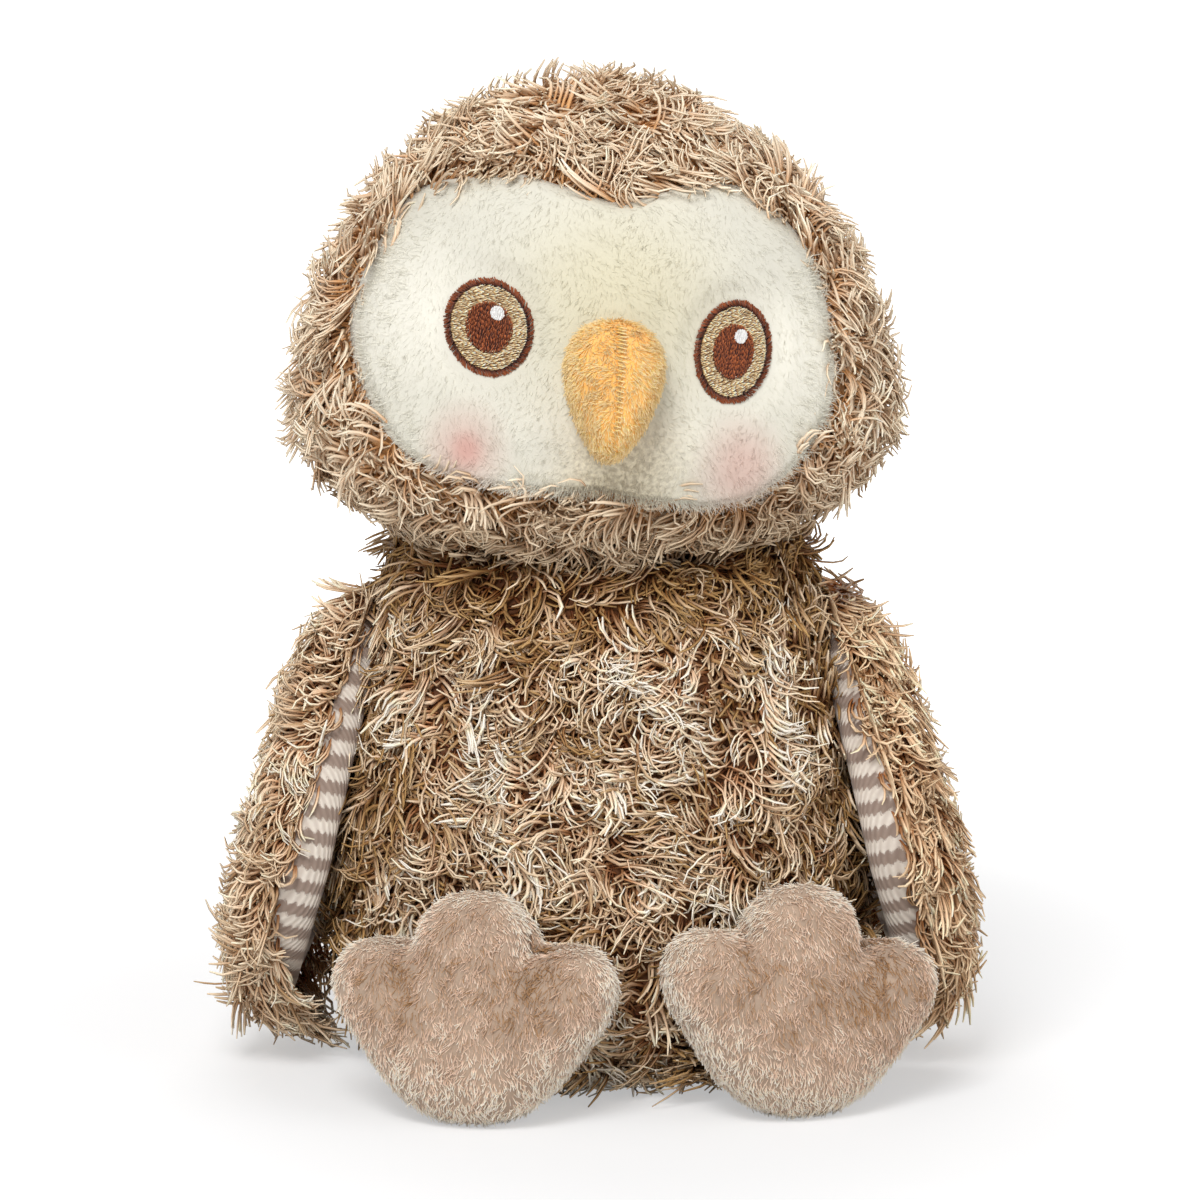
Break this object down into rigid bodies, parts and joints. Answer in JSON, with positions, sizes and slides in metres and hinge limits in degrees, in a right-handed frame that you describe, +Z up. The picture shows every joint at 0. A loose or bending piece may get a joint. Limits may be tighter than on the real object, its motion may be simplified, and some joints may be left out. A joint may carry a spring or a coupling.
{
  "type": "plush owl",
  "caption": "Sitting plush owl with a turning head, a pale inset face, embroidered eyes, a stuffed beak, striped wing linings and upright three-toed feet.",
  "frame": {"origin": "middle of the flat seat under the body, on the surface that it sits on", "axes": "+Z up, -Y out of the owl's front, +X towards the owl's own left wing"},
  "size_m": [0.154, 0.1235, 0.207],
  "materials": {
    "fur_plush": "matte",
    "cream_face_plush": "matte",
    "orange_beak_plush": "matte",
    "taupe_foot_plush": "matte",
    "striped_jersey": "matte",
    "fibre_stuffing": "matte",
    "dark_brown_thread": "satin",
    "tan_thread": "satin",
    "red_brown_thread": "satin",
    "white_thread": "satin"
  },
  "bodies": {
    "torso": {"body_cover": "fur_plush", "body_stuffing": "fibre_stuffing"},
    "head": {"head_cover": "fur_plush", "head_stuffing": "fibre_stuffing", "face_mask": "cream_face_plush", "beak_left_panel": "orange_beak_plush", "beak_right_panel": "orange_beak_plush", "beak_stuffing": "fibre_stuffing", "left_eye_rim": "dark_brown_thread", "left_eye_iris": "tan_thread", "left_eye_pupil": "red_brown_thread", "left_eye_highlight": "white_thread", "right_eye_rim": "dark_brown_thread", "right_eye_iris": "tan_thread", "right_eye_pupil": "red_brown_thread", "right_eye_highlight": "white_thread"},
    "left_wing": {"left_wing_cover": "fur_plush", "left_wing_lining": "striped_jersey", "left_wing_batting": "fibre_stuffing"},
    "right_wing": {"right_wing_cover": "fur_plush", "right_wing_lining": "striped_jersey", "right_wing_batting": "fibre_stuffing"},
    "left_foot": {"left_foot_sole": "taupe_foot_plush", "left_foot_upper": "taupe_foot_plush", "left_foot_stuffing": "fibre_stuffing"},
    "right_foot": {"right_foot_sole": "taupe_foot_plush", "right_foot_upper": "taupe_foot_plush", "right_foot_stuffing": "fibre_stuffing"}
  },
  "joints": [
    {"name": "neck_turn", "type": "hinge", "parent": "torso", "child": "head", "pos_m": [0, 0, 0.112], "axis": [0, 0, 1], "range_deg": [-20, 20], "stiffness_Nm_per_rad": 0.02},
    {"name": "left_wing_lift", "type": "hinge", "parent": "torso", "child": "left_wing", "pos_m": [0.04606, 0.003, 0.101], "axis": [0.1736, -0.9848, 0], "range_deg": [0, 60]},
    {"name": "right_wing_lift", "type": "hinge", "parent": "torso", "child": "right_wing", "pos_m": [-0.04606, 0.003, 0.101], "axis": [0.1736, 0.9848, 0], "range_deg": [0, 60]},
    {"name": "left_foot_tip", "type": "hinge", "parent": "torso", "child": "left_foot", "pos_m": [0.0372, -0.03907, 0.0003], "axis": [0.9272, 0.3746, 0], "range_deg": [0, 60]},
    {"name": "right_foot_tip", "type": "hinge", "parent": "torso", "child": "right_foot", "pos_m": [-0.0235, -0.04518, 0.0003], "axis": [0.9703, -0.2419, 0], "range_deg": [0, 60]}
  ]
}
